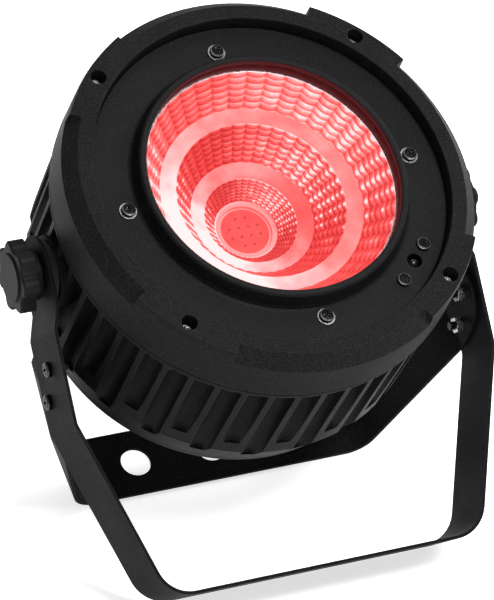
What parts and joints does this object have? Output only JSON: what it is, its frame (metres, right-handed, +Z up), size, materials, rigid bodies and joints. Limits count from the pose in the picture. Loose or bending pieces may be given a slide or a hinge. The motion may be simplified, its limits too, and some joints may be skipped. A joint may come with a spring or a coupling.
{
  "type": "par can light",
  "caption": "Stage wash lamp: a round finned metal head with one LED behind a stepped reflector, tilting between two bent straps that serve as floor stand and hanging bracket.",
  "frame": {"origin": "On the floor the straps stand on, in the middle of the overall width and depth, 2.3 mm in front of the tilt axis.", "axes": "+Z up; X along the tilt axis, +X to the right seen from the lit side's back; -Y is the side the lamp shines toward."},
  "size_m": [0.2344, 0.2133, 0.2346],
  "materials": {
    "casting_black": "die-cast, satin black powder coat",
    "strap_black": "bent steel strip, fine black powder coat",
    "screw_zinc": "zinc plated",
    "screw_black": "black oxide steel",
    "knob_plastic": "moulded black nylon",
    "fibre_washer": "hard rubber-faced friction washer",
    "rubber_black": "black silicone rubber",
    "glass_clear": "clear toughened glass",
    "reflector_chrome": "vacuum metallised, faceted",
    "led_phosphor": "clear silicone over the chips",
    "led_dies": "LED dies",
    "led_ceramic": "white ceramic substrate",
    "holder_white": "white moulded plastic",
    "plate_aluminium": "machined bare aluminium",
    "board_green": "circuit board lacquer",
    "component_grey": "moulded component bodies",
    "sensor_dark": "infrared-clear dark resin",
    "display_dark": "tinted acrylic",
    "button_grey": "moulded push button",
    "panel_black": "black powder-coated sheet",
    "socket_black": "black moulded socket",
    "contact_brass": "plated contacts",
    "nut_steel": "plain steel nut"
  },
  "bodies": {
    "stand": {"front_bracket": "strap_black", "rear_bracket": "strap_black", "bracket_screws": "screw_black", "bracket_nuts": "screw_black"},
    "head": {"front_ring": "casting_black", "ring_screws": "screw_zinc", "bezel_plate": "casting_black", "bezel_screws": "screw_zinc", "bezel_washers": "screw_zinc", "glass_window": "glass_clear", "glass_gasket": "rubber_black", "housing_seal": "rubber_black", "sensor_board": "board_green", "ir_sensor": "sensor_dark", "sensor_screws": "screw_zinc", "housing": "casting_black", "reflector": "reflector_chrome", "led_dome": "led_phosphor", "led_chips": "led_dies", "led_base": "led_ceramic", "led_holder": "holder_white", "heat_spreader": "plate_aluminium", "holder_screws": "screw_zinc", "spreader_screws": "screw_zinc", "power_board": "board_green", "board_screws": "screw_zinc", "power_parts": "component_grey", "control_board": "board_green", "control_screws": "screw_zinc", "button_switches": "component_grey", "display_module": "component_grey", "display_window": "display_dark", "rear_panel": "panel_black", "panel_screws": "screw_black", "connector_screws": "screw_black", "dmx_in": "socket_black", "dmx_in_core": "socket_black", "dmx_in_pins": "contact_brass", "dmx_out": "socket_black", "dmx_out_core": "socket_black", "power_inlet": "socket_black", "inlet_pins": "contact_brass", "fuse_holder": "socket_black", "fuse_link": "glass_clear", "safety_eye": "screw_zinc", "eye_nuts": "nut_steel", "friction_washer_left": "fibre_washer", "friction_washer_right": "fibre_washer"},
    "knob_left": {"knob_left": "knob_plastic", "knob_stud_left": "nut_steel", "knob_washer_left": "screw_black"},
    "knob_right": {"knob_right": "knob_plastic", "knob_stud_right": "nut_steel", "knob_washer_right": "screw_black"},
    "button_menu": {"button_menu": "button_grey"},
    "button_down": {"button_down": "button_grey"},
    "button_up": {"button_up": "button_grey"},
    "button_enter": {"button_enter": "button_grey"},
    "fuse_cap": {"fuse_cap": "socket_black"},
    "dmx_latch": {"dmx_latch": "screw_zinc"}
  },
  "joints": [
    {"name": "head_tilt", "type": "hinge", "parent": "stand", "child": "head", "pos_m": [0, 0.00229, 0.13742], "axis": [1, 0, 0], "range_deg": [-90, 90]},
    {"name": "knob_left_turn", "type": "hinge", "parent": "head", "child": "knob_left", "pos_m": [-0.11, 0.00229, 0.13742], "axis": [1, 0, 0], "continuous": true},
    {"name": "knob_right_turn", "type": "hinge", "parent": "head", "child": "knob_right", "pos_m": [0.11, 0.00229, 0.13742], "axis": [1, 0, 0], "continuous": true},
    {"name": "button_menu_press", "type": "slide", "parent": "head", "child": "button_menu", "axis": [0, -0.5417, 0.8406], "range_m": [0, 0.001], "stiffness_N_per_m": 1500},
    {"name": "button_down_press", "type": "slide", "parent": "head", "child": "button_down", "axis": [0, -0.5417, 0.8406], "range_m": [0, 0.001], "stiffness_N_per_m": 1500},
    {"name": "button_up_press", "type": "slide", "parent": "head", "child": "button_up", "axis": [0, -0.5417, 0.8406], "range_m": [0, 0.001], "stiffness_N_per_m": 1500},
    {"name": "button_enter_press", "type": "slide", "parent": "head", "child": "button_enter", "axis": [0, -0.5417, 0.8406], "range_m": [0, 0.001], "stiffness_N_per_m": 1500},
    {"name": "fuse_cap_turn", "type": "hinge", "parent": "head", "child": "fuse_cap", "pos_m": [0.031, -0.00662, 0.06078], "axis": [0, -0.5417, 0.8406], "range_deg": [-90, 0]},
    {"name": "dmx_latch_press", "type": "slide", "parent": "head", "child": "dmx_latch", "axis": [0, -0.5417, 0.8406], "range_m": [0, 0.0015], "stiffness_N_per_m": 800}
  ]
}
